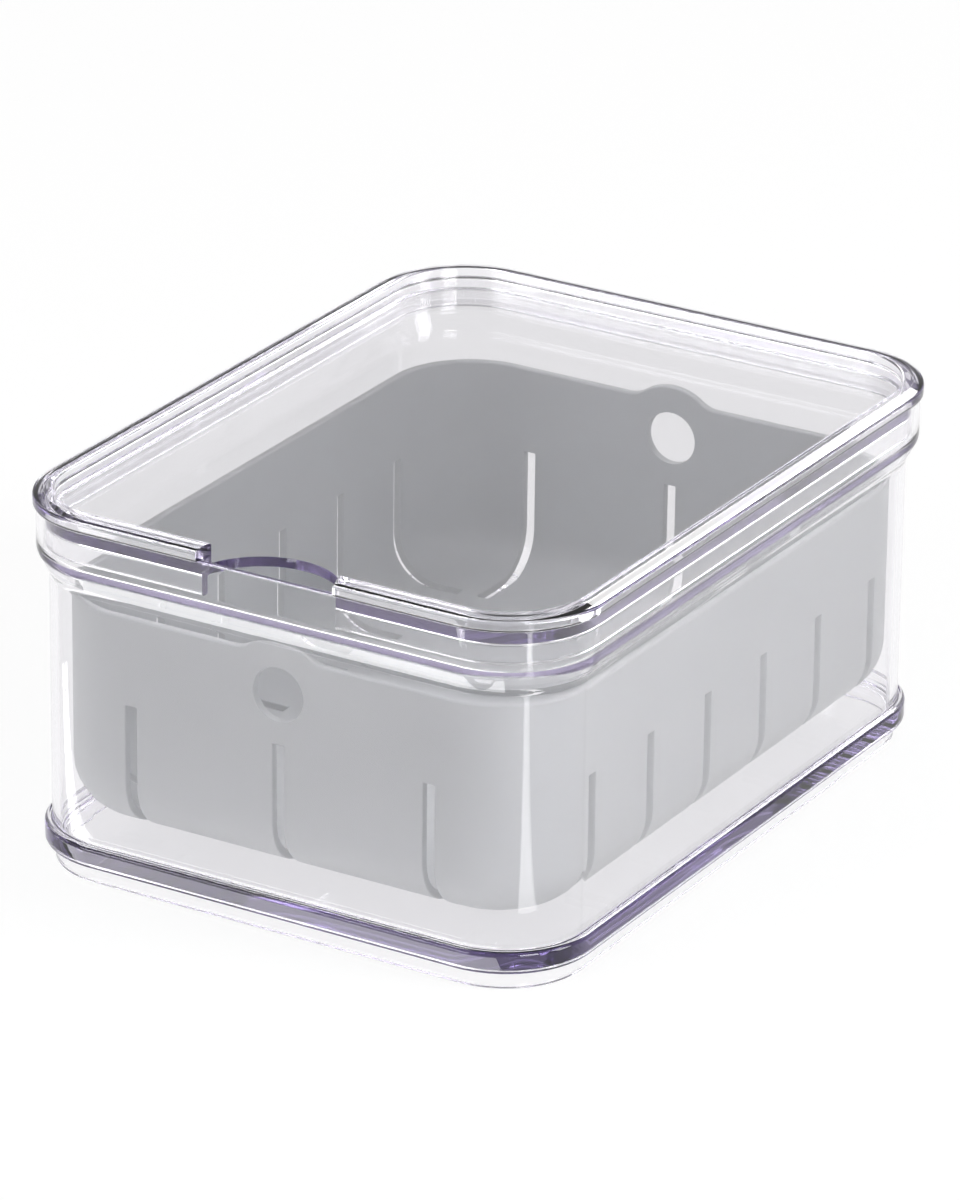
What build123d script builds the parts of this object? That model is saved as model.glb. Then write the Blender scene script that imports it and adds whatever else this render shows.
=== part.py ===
from build123d import *
import os

os.makedirs("parts", exist_ok=True)

# Overall size over the lid rim: width along X, depth along Y.
width = 160.5
depth = 211.3
corner_radius = 26.6

# Bin heights, from the underside of the stacking foot.
foot_height = 5.0
bead_bottom = 5.0
bead_top = 11.0
bead_radius = 1.2
floor_top = 8.0
shoulder_bottom = 79.0
shoulder_top = 85.0
bin_height = 97.0

# How far the bin faces stand in from the lid rim outline, and its walls.
foot_inset = 4.8
bead_inset = 2.1
wall_inset = 4.0
band_inset = 0.8
bin_wall = 2.0
band_wall = 1.8
shoulder_lift = 1.5
shoulder_radius = 5.0

# Lid.
plate_bottom = 92.6
plate_top = 95.2
rim_side_top = 99.7
rim_top = 100.6
rim_width = 5.5
rim_crown_inset = 2.8
lip_bottom = 87.4
lip_inset = 3.1
lip_wall = 1.8
notch_radius = 19.7
notch_centre = depth / 2 + 1.0

# Basket.
basket_inset = 7.6
basket_corner = 24.0
basket_bottom = 14.5
basket_top = 74.3
basket_wall = 2.2
basket_bottom_radius = 14.0
hole_diameter = 14.5
hole_height = 63.9
tab_radius = 14.7
tab_blend = 8.0
edge_round = 0.7
slot_width = 3.2
slot_top = 50.3
end_slot_pitch = 43.4
side_slot_pitch = 28.8
end_slot_reach = 26.0
side_slot_reach = 22.0
pad_diameter = 12.0
pad_spacing_x = 72.0
pad_spacing_y = 116.0


def outline(inset, radius=None):
    """Rounded rectangle standing in from the lid rim outline by inset."""
    corner = radius or corner_radius - inset
    return RectangleRounded(width - 2 * inset, depth - 2 * inset, corner)


def edges_at(part, height):
    """Edges of a part that lie level at one height."""
    return part.edges().filter_by_position(Axis.Z, height - 0.001, height + 0.001)


# Clear tub: bead, foot, straight wall, flared shoulder and band.
with BuildPart() as bin_part:
    with BuildSketch(Plane.XY.offset(bead_bottom)):
        outline(bead_inset)
    extrude(amount=bead_top - bead_bottom)
    fillet(edges_at(bin_part, bead_bottom) + edges_at(bin_part, bead_top), radius=bead_radius)
    with BuildSketch():
        outline(foot_inset)
    extrude(amount=bead_bottom)
    with BuildSketch(Plane.XY.offset(bead_bottom)):
        outline(wall_inset)
    extrude(amount=shoulder_bottom - bead_bottom)
    with BuildSketch(Plane.XY.offset(shoulder_bottom)):
        outline(wall_inset)
    with BuildSketch(Plane.XY.offset(shoulder_top)):
        outline(band_inset)
    loft(ruled=True)
    with BuildSketch(Plane.XY.offset(shoulder_top)):
        outline(band_inset)
    extrude(amount=bin_height - shoulder_top)
    fillet(edges_at(bin_part, shoulder_top), radius=shoulder_radius)
    fillet(edges_at(bin_part, shoulder_bottom), radius=shoulder_radius)

    # Hollow of the tub, widening through the shoulder to the band.
    inner_bottom = shoulder_bottom + shoulder_lift
    inner_top = shoulder_top + shoulder_lift
    with BuildSketch(Plane.XY.offset(floor_top)):
        outline(wall_inset + bin_wall)
    extrude(amount=inner_bottom - floor_top, mode=Mode.SUBTRACT)
    with BuildSketch(Plane.XY.offset(inner_bottom)):
        outline(wall_inset + bin_wall)
    with BuildSketch(Plane.XY.offset(inner_top)):
        outline(band_inset + band_wall)
    loft(ruled=True, mode=Mode.SUBTRACT)
    with BuildSketch(Plane.XY.offset(inner_top)):
        outline(band_inset + band_wall)
    extrude(amount=bin_height - inner_top, mode=Mode.SUBTRACT)
    fillet(edges_at(bin_part, floor_top), radius=3.0)

    # Recess under the floor, inside the foot ring.
    with BuildSketch():
        outline(foot_inset + bin_wall)
    extrude(amount=foot_height, mode=Mode.SUBTRACT)
    fillet(edges_at(bin_part, 0), radius=0.6)
    fillet(edges_at(bin_part, bin_height), radius=0.5)
bin_part.part.label = "bin"
export_step(bin_part.part, "parts/bin.step")


# Clear lid: plate, crowned stacking rim, lip inside the band, finger notch.
with BuildPart() as lid:
    with BuildSketch(Plane.XY.offset(lip_bottom)):
        outline(lip_inset)
    extrude(amount=bin_height - lip_bottom)
    with BuildSketch(Plane.XY.offset(bin_height)):
        outline(0)
    extrude(amount=rim_side_top - bin_height)
    with BuildSketch(Plane.XY.offset(rim_side_top)):
        outline(0)
    with BuildSketch(Plane.XY.offset(rim_top)):
        outline(rim_crown_inset)
    loft(ruled=True)
    fillet(edges_at(lid, rim_side_top), radius=1.0)
    with BuildSketch(Plane.XY.offset(plate_top)):
        outline(rim_width)
    extrude(amount=rim_top - plate_top, mode=Mode.SUBTRACT)
    fillet(edges_at(lid, plate_top), radius=0.8)
    fillet(edges_at(lid, rim_top), radius=0.7)
    with BuildSketch(Plane.XY.offset(lip_bottom)):
        outline(lip_inset + lip_wall)
    extrude(amount=plate_bottom - lip_bottom, mode=Mode.SUBTRACT)
    fillet(edges_at(lid, lip_bottom), radius=0.6)
    with BuildSketch(Plane.XY.offset(lip_bottom)):
        with Locations((0, -notch_centre)):
            Circle(notch_radius)
    extrude(amount=rim_top - lip_bottom, mode=Mode.SUBTRACT)
lid.part.label = "lid"
export_step(lid.part, "parts/lid.step")


# Space inside the basket, cut from it below.
tab_top = hole_height + tab_radius
inner_floor = basket_bottom + basket_wall
with BuildPart() as cavity:
    with BuildSketch(Plane.XY.offset(inner_floor)):
        outline(basket_inset + basket_wall, basket_corner - basket_wall)
    extrude(amount=tab_top - inner_floor)
    fillet(edges_at(cavity, inner_floor), radius=basket_bottom_radius - basket_wall)


# Grey colander basket: slotted shell on four pads, a holed tab at each end.
half_x = width / 2 - basket_inset
half_y = depth / 2 - basket_inset
with BuildPart() as basket:
    with BuildSketch(Plane.XY.offset(basket_bottom)):
        outline(basket_inset, basket_corner)
    extrude(amount=tab_top - basket_bottom)
    fillet(edges_at(basket, basket_bottom), radius=basket_bottom_radius)
    add(cavity.part, mode=Mode.SUBTRACT)

    # Everything above the top edge goes, except the humped tab over each hole.
    with BuildSketch(Plane.XZ) as above:
        with Locations((0, basket_top)):
            Rectangle(width, tab_radius, align=(Align.CENTER, Align.MIN))
        with Locations((0, hole_height)):
            Circle(tab_radius, mode=Mode.SUBTRACT)
        tab_roots = above.vertices().filter_by_position(Axis.X, -tab_radius, tab_radius)
        fillet(tab_roots, radius=tab_blend)
    extrude(amount=depth / 2, both=True, mode=Mode.SUBTRACT)
    rim_edges = basket.edges().filter_by_position(Axis.Z, basket_top - 0.01, tab_top + 0.01)
    fillet(rim_edges.filter_by(lambda edge: edge.center().Z > basket_top - 0.01), radius=edge_round)
    with BuildSketch(Plane.XZ):
        with Locations((0, hole_height)):
            Circle(hole_diameter / 2)
    extrude(amount=depth / 2, both=True, mode=Mode.SUBTRACT)
    hole_edges = basket.edges().filter_by(GeomType.CIRCLE)
    fillet(hole_edges.filter_by(lambda edge: edge.center().Z == hole_height), radius=edge_round)

    # Slots run down the wall, round the bottom radius and into the floor.
    with BuildSketch(Plane.XY.offset(slot_top)):
        for end in (-1, 1):
            with Locations((0, end * (half_y - end_slot_reach / 2))):
                with GridLocations(end_slot_pitch, 1, 3, 1):
                    Rectangle(slot_width, end_slot_reach)
        for side in (-1, 1):
            with Locations((side * (half_x - side_slot_reach / 2), 0)):
                with GridLocations(1, side_slot_pitch, 1, 6):
                    Rectangle(side_slot_reach, slot_width)
    extrude(amount=basket_bottom - slot_top, mode=Mode.SUBTRACT)

    # Pads that hold the basket off the bin floor.
    with BuildSketch(Plane.XY.offset(floor_top)):
        with GridLocations(pad_spacing_x, pad_spacing_y, 2, 2):
            Circle(pad_diameter / 2)
    extrude(amount=inner_floor - floor_top)
basket.part.label = "basket"
export_step(basket.part, "parts/basket.step")
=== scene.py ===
import math

import bpy
from mathutils import Matrix, Vector


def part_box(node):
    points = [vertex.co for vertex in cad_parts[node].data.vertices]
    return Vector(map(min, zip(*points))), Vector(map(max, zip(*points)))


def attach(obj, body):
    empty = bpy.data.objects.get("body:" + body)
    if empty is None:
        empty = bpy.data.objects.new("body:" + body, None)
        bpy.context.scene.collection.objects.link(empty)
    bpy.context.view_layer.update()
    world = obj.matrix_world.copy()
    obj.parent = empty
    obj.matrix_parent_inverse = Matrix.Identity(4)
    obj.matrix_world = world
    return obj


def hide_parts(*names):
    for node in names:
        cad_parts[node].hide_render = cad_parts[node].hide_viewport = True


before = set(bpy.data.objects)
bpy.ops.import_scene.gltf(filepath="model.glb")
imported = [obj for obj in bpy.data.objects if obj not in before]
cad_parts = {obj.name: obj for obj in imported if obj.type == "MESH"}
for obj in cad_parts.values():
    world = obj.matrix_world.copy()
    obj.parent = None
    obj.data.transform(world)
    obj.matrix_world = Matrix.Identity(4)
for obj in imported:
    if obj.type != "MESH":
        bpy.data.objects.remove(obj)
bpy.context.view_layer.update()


# The tub is one injection-moulded clear styrene shell: a floor, a hollow stacking foot, a rounded
# bead round the base, straight walls, and a shoulder that flares out to the band under the lid.
# Every face of it stands in from the outline of the lid's rim, so that outline comes first.
mm = 0.001
rim_low, rim_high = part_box("lid")
outline_x = (rim_high.x - rim_low.x) / 2 / mm
outline_y = (rim_high.y - rim_low.y) / 2 / mm
outline_corner = 26.6
tub_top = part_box("bin")[1].z / mm
shoulder_low, shoulder_high, shoulder_lift = 79.0, 85.0, 1.5
tub_wall, tub_wall_inner = 4.0, 6.0
band_face, band_inner = 0.8, 2.6
base_bead, foot_face, foot_inner = 2.1, 4.8, 6.8
foot_recess, tub_floor = 5.0, 8.0
bead_low, bead_high, bead_round = 5.0, 11.0, 1.2
flat_from = 14.0


def drawn_section(corners, steps=9):
    """Points and air-side directions along a section through corners of (inset, height, radius)."""
    points, sides = [], []
    for before, corner, after in zip(corners, corners[1:], corners[2:]):
        here = Vector(corner[:2])
        arriving = (here - Vector(before[:2])).normalized()
        leaving = (Vector(after[:2]) - here).normalized()
        turn = math.atan2(arriving.x * leaving.y - arriving.y * leaving.x, arriving.dot(leaving))
        radius = corner[2]
        start = here - arriving * radius * math.tan(abs(turn) / 2)
        towards = math.copysign(radius, turn)
        centre = start + Vector((-arriving.y, arriving.x)) * towards
        for k in range(steps + 1):
            bend = Matrix.Rotation(turn * k / steps, 2)
            heading = bend @ arriving
            points.append(centre + bend @ (start - centre))
            sides.append(Vector((heading.y, -heading.x)))
    points = [Vector(corners[0][:2])] + points + [Vector(corners[-1][:2])]
    sides = [sides[0]] + sides + [sides[-1]]
    return points, sides


def plan_outline(inset, corner=None, steps=64, front_cuts=()):
    """Rounded rectangle standing in from the rim, anticlockwise, with its outward directions."""
    radius = outline_corner - inset if corner is None else corner
    across, along = outline_x - inset - radius, outline_y - inset - radius
    places, outward = [], []
    centres = [(across, along), (-across, along), (-across, -along), (across, -along)]
    for quarter, (x, y) in enumerate(centres):
        for k in range(steps + 1):
            angle = math.radians(90) * (quarter + k / steps)
            out = Vector((math.cos(angle), math.sin(angle)))
            places.append(Vector((x, y)) + out * radius)
            outward.append(out)
        if quarter % 2 == 0:
            run = -1 if quarter == 0 else 1
            for cut in front_cuts:
                places.append(Vector((cut * run, math.copysign(along + radius, y))))
                outward.append(Vector((0, math.copysign(1, y))))
    return places, outward


def swept_shell(name, section, sides, plan, lift=None):
    """Closed mesh of a section carried round the outline, its two end loops filled flat."""
    verts, normals, faces = [], [], []
    for (inset, height), side in zip(section, sides):
        places, outward = plan(inset)
        for place, out in zip(places, outward):
            rise = lift(place, height) if lift else 0
            verts.append((place.x * mm, place.y * mm, (height + rise) * mm))
            normals.append((-side.x * out.x, -side.x * out.y, side.y))
    count = len(places)
    for k in range(len(section) - 1):
        for j in range(count):
            a, b = k * count + j, k * count + (j + 1) % count
            faces.append((a, a + count, b + count, b))
    faces.append(tuple(range(count)))
    faces.append(tuple(reversed(range(len(verts) - count, len(verts)))))
    mesh = bpy.data.meshes.new(name)
    mesh.from_pydata(verts, [], faces)
    mesh.polygons.foreach_set("use_smooth", [True] * len(faces))
    mesh.normals_split_custom_set_from_vertices(normals)
    shell = bpy.data.objects.new(name, mesh)
    bpy.context.collection.objects.link(shell)
    return shell


tub_section, tub_sides = drawn_section([
    (flat_from, tub_floor, 0),
    (tub_wall_inner, tub_floor, 3.0),
    (tub_wall_inner, shoulder_low + shoulder_lift, 4.0),
    (band_inner, shoulder_high + shoulder_lift, 4.0),
    (band_inner, tub_top, 0.5),
    (band_face, tub_top, 0.5),
    (band_face, shoulder_high, 5.0),
    (tub_wall, shoulder_low, 5.0),
    (tub_wall, bead_high, 0.5),
    (base_bead, bead_high, bead_round),
    (base_bead, bead_low, bead_round),
    (foot_face, bead_low, 0.5),
    (foot_face, 0.0, 0.6),
    (foot_inner, 0.0, 0.6),
    (foot_inner, foot_recess, 0.6),
    (flat_from, foot_recess, 0),
])
tub = swept_shell("clear_tub", tub_section, tub_sides, plan_outline)


class Shade:
    """A shader socket that takes part in sums and products."""

    def __init__(self, tree, socket):
        self.tree, self.socket = tree, socket

    def node(self, kind, settings=None, **inputs):
        made = self.tree.nodes.new(kind)
        for key, value in (settings or {}).items():
            if key == "stops":
                stops = made.color_ramp.elements
                while len(stops) < len(value):
                    stops.new(0.5)
                for stop, (place, colour) in zip(stops, value):
                    stop.position, stop.color = place, colour
            else:
                setattr(made, key, value)
        for key, value in inputs.items():
            numbered = key[0] == "i" and key[1:].isdigit()
            into = made.inputs[int(key[1:]) if numbered else key.replace("_", " ")]
            if isinstance(value, Shade):
                self.tree.links.new(value.socket, into)
            else:
                into.default_value = value
        return made

    def maths(self, operation, a, b=0.0):
        made = self.node("ShaderNodeMath", {"operation": operation}, i0=a, i1=b)
        return Shade(self.tree, made.outputs[0])

    def __add__(self, other):
        return self.maths("ADD", self, other)

    def __radd__(self, other):
        return self.maths("ADD", other, self)

    def __mul__(self, other):
        return self.maths("MULTIPLY", self, other)

    def __rmul__(self, other):
        return self.maths("MULTIPLY", other, self)


def clear_styrene(name):
    """Polished clear plastic: a faint lavender cast on long paths, and a soft moulding ripple."""
    material = bpy.data.materials.new(name)
    material.use_nodes = True
    tree = material.node_tree
    plastic, output = tree.nodes["Principled BSDF"], tree.nodes["Material Output"]
    plastic.inputs["Base Color"].default_value = (0.985, 0.983, 0.988, 1)
    plastic.inputs["Transmission Weight"].default_value = 1.0
    plastic.inputs["Roughness"].default_value = 0.0
    plastic.inputs["IOR"].default_value = 1.57
    start = Shade(tree, None)
    where = Shade(tree, start.node("ShaderNodeTexCoord").outputs["Object"])
    ripple = start.node("ShaderNodeTexNoise", i0=where, Scale=28.0, Detail=1.0, Roughness=0.4)
    waves = Shade(tree, ripple.outputs["Fac"])
    bump = start.node("ShaderNodeBump", Strength=0.02, Distance=0.0004, Height=waves)
    tree.links.new(bump.outputs["Normal"], plastic.inputs["Normal"])
    cast = tree.nodes.new("ShaderNodeVolumeAbsorption")
    cast.inputs["Color"].default_value = (0.41, 0.33, 0.58, 1)
    cast.inputs["Density"].default_value = 14.0
    tree.links.new(cast.outputs[0], output.inputs["Volume"])
    return material


clear = clear_styrene("clear_styrene")
tub.data.materials.append(clear)
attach(tub, "bin")
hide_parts("bin")


# The lid is moulded in the same clear styrene: a flat plate, a crowned rim that keeps a bin stacked
# on it from sliding, a lip that drops inside the band, and a round bite for a finger at the front.
plate_low, plate_high = 92.6, 95.2
rim_top = rim_high.z / mm
lip_low = rim_low.z / mm
rim_width, rim_crown, rim_side_top = 5.5, 2.8, 99.7
lip_face, lip_inner = 3.1, 4.9
notch_radius, notch_centre = 19.7, outline_y + 1.0

lid_section, lid_sides = drawn_section([
    (flat_from, plate_high, 0),
    (rim_width, plate_high, 0.8),
    (rim_width, rim_top, 0.7),
    (rim_crown, rim_top, 0.7),
    (0.0, rim_side_top, 1.0),
    (0.0, tub_top, 0.35),
    (lip_face, tub_top, 0.25),
    (lip_face, lip_low, 0.6),
    (lip_inner, lip_low, 0.6),
    (lip_inner, plate_low, 0.8),
    (flat_from, plate_low, 0),
])
lid = swept_shell("clear_lid", lid_section, lid_sides, plan_outline)


def cut_away(piece, cutter, edge_round, operation="DIFFERENCE"):
    """Takes the cutter out of the piece, rounds the new edges and evens the shading."""
    cut = piece.modifiers.new("cut", "BOOLEAN")
    cut.operation, cut.solver, cut.object = operation, "EXACT", cutter
    if edge_round:
        edges = piece.modifiers.new("edges", "BEVEL")
        edges.width, edges.segments = edge_round * mm, 3
        edges.limit_method, edges.angle_limit = "ANGLE", math.radians(40)
        edges.use_clamp_overlap = True
    shading = piece.modifiers.new("shading", "WEIGHTED_NORMAL")
    shading.mode, shading.weight, shading.keep_sharp = "FACE_AREA", 100, False
    settled = piece.evaluated_get(bpy.context.evaluated_depsgraph_get())
    mesh = bpy.data.meshes.new_from_object(settled)
    piece.modifiers.clear()
    piece.data = mesh
    bpy.data.objects.remove(cutter)


def drum(name, x, y, radius, low, high, steps=180):
    """Closed upright cylinder."""
    turns = [2 * math.pi * k / steps for k in range(steps)]
    ring = [(x + radius * math.cos(turn), y + radius * math.sin(turn)) for turn in turns]
    verts = [(px * mm, py * mm, z * mm) for z in (low, high) for px, py in ring]
    faces = [(k, (k + 1) % steps, steps + (k + 1) % steps, steps + k) for k in range(steps)]
    faces += [tuple(reversed(range(steps))), tuple(range(steps, 2 * steps))]
    mesh = bpy.data.meshes.new(name)
    mesh.from_pydata(verts, [], faces)
    mesh.polygons.foreach_set("use_smooth", [True] * len(faces))
    made = bpy.data.objects.new(name, mesh)
    bpy.context.collection.objects.link(made)
    return made


bite = drum("finger_bite", 0, -notch_centre, notch_radius, lip_low - 5, rim_top + 5)
cut_away(lid, bite, 0.35)
lid.data.materials.clear()
lid.data.materials.append(clear)
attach(lid, "lid")
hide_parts("lid")


# The basket is a grey polypropylene colander in one moulding: straight walls with a big bottom
# radius, slots that run down and under, a humped tab with a finger hole at each end, and four pads.
basket_low, basket_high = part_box("basket")
basket_face = outline_x - basket_high.x / mm
basket_corner, basket_wall = 24.0, 2.2
basket_under, basket_top = 14.5, 74.3
basket_round, basket_flat_from = 14.0, 26.0
hole_radius, hole_height = 7.25, 63.9
tab_radius, tab_blend = basket_high.z / mm - hole_height, 8.0
slot_width, slot_top = 3.2, 50.3
end_slot_pitch, end_slot_reach = 43.4, 26.0
side_slot_pitch, side_slot_reach = 28.8, 22.0
pad_x, pad_y, pad_radius = 36.0, 58.0, 6.0
hump_cuts = [k * 1.0 for k in range(-22, 23)]


def basket_plan(inset):
    """The basket's own outline, whose corners are rounder than the tub's."""
    return plan_outline(inset, basket_corner - (inset - basket_face), 24, hump_cuts)


def tab_rise(place, height):
    """How far the top edge rises where it humps over the finger hole."""
    if height < 60 or abs(place.y) < 60:
        return 0
    level = basket_top - hole_height
    root = math.sqrt((tab_radius + tab_blend) ** 2 - (level + tab_blend) ** 2)
    touch = root * tab_radius / (tab_radius + tab_blend)
    x = abs(place.x)
    if x < touch:
        return math.sqrt(tab_radius ** 2 - x ** 2) - level
    if x < root:
        return tab_blend - math.sqrt(tab_blend ** 2 - (root - x) ** 2)
    return 0


basket_section, basket_sides = drawn_section([
    (basket_flat_from, basket_under, 0),
    (basket_face, basket_under, basket_round),
    (basket_face, basket_top, 0.7),
    (basket_face + basket_wall, basket_top, 0.7),
    (basket_face + basket_wall, basket_under + basket_wall, basket_round - basket_wall),
    (basket_flat_from, basket_under + basket_wall, 0),
][::-1], 8)
basket = swept_shell("basket", basket_section, basket_sides, basket_plan, tab_rise)


def slab(x0, x1, y0, y1, z0, z1):
    """Corners and faces of one upright block."""
    corners = [(x, y, z) for z in (z0, z1) for x, y in ((x0, y0), (x1, y0), (x1, y1), (x0, y1))]
    faces = [(3, 2, 1, 0), (4, 5, 6, 7), (0, 1, 5, 4), (1, 2, 6, 5), (2, 3, 7, 6), (3, 0, 4, 7)]
    return corners, faces


def joined_blocks(name, blocks):
    """One mesh of several separate blocks."""
    verts, faces = [], []
    for corners, sides in blocks:
        faces += [tuple(i + len(verts) for i in side) for side in sides]
        verts += [(x * mm, y * mm, z * mm) for x, y, z in corners]
    mesh = bpy.data.meshes.new(name)
    mesh.from_pydata(verts, [], faces)
    made = bpy.data.objects.new(name, mesh)
    bpy.context.collection.objects.link(made)
    return made


half = slot_width / 2
end_wall, side_wall = basket_high.y / mm, basket_high.x / mm
beyond = 5.0
slots = []
for x in (-end_slot_pitch, 0, end_slot_pitch):
    for end in (-1, 1):
        near, far = sorted((end * (end_wall - end_slot_reach), end * (end_wall + beyond)))
        slots.append(slab(x - half, x + half, near, far, beyond, slot_top))
for y in [side_slot_pitch * (k - 2.5) for k in range(6)]:
    for side in (-1, 1):
        near, far = sorted((side * (side_wall - side_slot_reach), side * (side_wall + beyond)))
        slots.append(slab(near, far, y - half, y + half, beyond, slot_top))
cut_away(basket, joined_blocks("slot_blocks", slots), 0.6)
past_ends = end_wall + 15.0
finger_hole = drum("finger_hole", 0, 0, hole_radius, -past_ends, past_ends, 96)
finger_hole.data.transform(Matrix.Rotation(math.radians(90), 4, "X"))
finger_hole.data.transform(Matrix.Translation((0, 0, hole_height * mm)))
cut_away(basket, finger_hole, 0.6)

# The pads stop just above the tub's floor, so the two plastics never share a face.
for x in (-pad_x, pad_x):
    for y in (-pad_y, pad_y):
        pad = drum("pad", x, y, pad_radius, basket_low.z / mm + 0.1, basket_under + 1.0, 64)
        cut_away(basket, pad, 0.0, operation="UNION")


def satin_polypropylene(name):
    """Grey satin plastic with a fine spark-eroded texture and slightly uneven pigment."""
    material = bpy.data.materials.new(name)
    material.use_nodes = True
    tree = material.node_tree
    plastic = tree.nodes["Principled BSDF"]
    start = Shade(tree, None)
    where = Shade(tree, start.node("ShaderNodeTexCoord").outputs["Object"])
    cloud = start.node("ShaderNodeTexNoise", i0=where, Scale=22.0, Detail=3.0, Roughness=0.5)
    grain = start.node("ShaderNodeTexNoise", i0=where, Scale=2600.0, Detail=2.0, Roughness=0.6)
    cloud, grain = Shade(tree, cloud.outputs["Fac"]), Shade(tree, grain.outputs["Fac"])
    tone = start.node("ShaderNodeValToRGB", {"stops": [
        (0.3, (0.585, 0.597, 0.608, 1)), (0.7, (0.615, 0.627, 0.638, 1))]}, Fac=cloud)
    tree.links.new(tone.outputs["Color"], plastic.inputs["Base Color"])
    tree.links.new((0.42 + 0.10 * cloud).socket, plastic.inputs["Roughness"])
    bump = start.node("ShaderNodeBump", Strength=0.06, Distance=0.00005, Height=grain)
    tree.links.new(bump.outputs["Normal"], plastic.inputs["Normal"])
    plastic.inputs["IOR"].default_value = 1.49
    return material


basket.data.materials.clear()
basket.data.materials.append(satin_polypropylene("grey_polypropylene"))
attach(basket, "basket")
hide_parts("basket")


# The studio: an opal table lit from beneath, white walls, softboxes to the right and front left, and
# strip lights overhead, behind, beside it and on the table that only make highlights on the plastic.
table_mesh = bpy.data.meshes.new("table")
table_mesh.from_pydata([(-4, -4, 0), (4, -4, 0), (4, 4, 0), (-4, 4, 0)], [], [(0, 1, 2, 3)])
table = bpy.data.objects.new("table", table_mesh)
bpy.context.collection.objects.link(table)
opal = bpy.data.materials.new("opal_acrylic")
opal.use_nodes = True
surface = opal.node_tree.nodes["Principled BSDF"]
surface.inputs["Base Color"].default_value = (0.20, 0.20, 0.20, 1)
surface.inputs["Roughness"].default_value = 0.6
surface.inputs["Specular IOR Level"].default_value = 0.0
surface.inputs["Emission Color"].default_value = (1, 1, 1, 1)
surface.inputs["Emission Strength"].default_value = 0.86
table.data.materials.append(opal)

world = bpy.data.worlds.new("studio")
bpy.context.scene.world = world
world.use_nodes = True
world.node_tree.nodes["Background"].inputs["Color"].default_value = (1, 1, 1, 1)
world.node_tree.nodes["Background"].inputs["Strength"].default_value = 0.50


def panel(name, place, across, tall, radiance, lights_matt=True, aim=(0, 0, 0.05)):
    """Rectangular area light aimed at a point; a strip for highlights alone skips matt surfaces."""
    light = bpy.data.lights.new(name, "AREA")
    light.shape, light.size, light.size_y = "RECTANGLE", across, tall
    light.energy = radiance * math.pi * across * tall
    lamp = bpy.data.objects.new(name, light)
    bpy.context.collection.objects.link(lamp)
    lamp.location, lamp.rotation_mode = place, "QUATERNION"
    lamp.rotation_quaternion = (Vector(aim) - Vector(place)).to_track_quat("-Z", "Y")
    lamp.visible_diffuse = lights_matt


# The last three strips lie on the table: one shines up the front right corner of the tub, one on the
# shoulder along the front, and one on the front face of the lid's rim.
panel("key", (1.50, 0.20, 0.70), 0.50, 1.0, 8.0)
panel("front", (-0.70, -1.50, 0.50), 1.0, 0.6, 5.0)
panel("overhead_strip", (-0.56, 0.0, 1.06), 0.7, 0.50, 11.0, False)
panel("back_strip", (0.0, 1.0, 0.78), 0.8, 0.40, 8.0, False)
panel("side_strip", (0.84, -0.55, 0.42), 0.36, 0.5, 9.0, False)
panel("table_strip", (0.180, -0.173, 0.003), 0.02, 0.20, 2.4, False, (0.188, -0.179, 1.0))
panel("front_table_strip", (-0.060, -0.114, 0.002), 0.26, 0.010, 4.0, False, (-0.060, -0.114, 1.0))
panel("rim_table_strip", (-0.116, -0.303, 0.002), 0.19, 0.014, 4.5, False, (-0.116, -0.303, 1.0))
bpy.context.scene.cycles.max_bounces = 64
bpy.context.scene.cycles.transmission_bounces = 64
bpy.context.scene.cycles.glossy_bounces = 64
bpy.context.scene.cycles.diffuse_bounces = 6

# The camera stands to the right of the front, looking down, with a long lens and a slight tilt.
azimuth, elevation, roll = math.radians(30.70), math.radians(23.13), math.radians(0.68)
target, distance = Vector((-0.0089, 0.0125, 0.047)), 1.9267
back = Vector((
    math.sin(azimuth) * math.cos(elevation),
    -math.cos(azimuth) * math.cos(elevation),
    math.sin(elevation),
))
level = (-back).cross(Vector((0, 0, 1))).normalized()
upright = level.cross(-back)
right = level * math.cos(roll) + upright * math.sin(roll)
up = upright * math.cos(roll) - level * math.sin(roll)
camera = bpy.data.objects.new("camera", bpy.data.cameras.new("camera"))
bpy.context.collection.objects.link(camera)
facing = Matrix((right, up, back)).transposed().to_4x4()
camera.matrix_world = Matrix.Translation(target + back * distance) @ facing
camera.data.sensor_width = 36.0
camera.data.lens = 223.5
camera.data.clip_end = 20
bpy.context.scene.camera = camera
bpy.context.scene.view_settings.view_transform = "Standard"
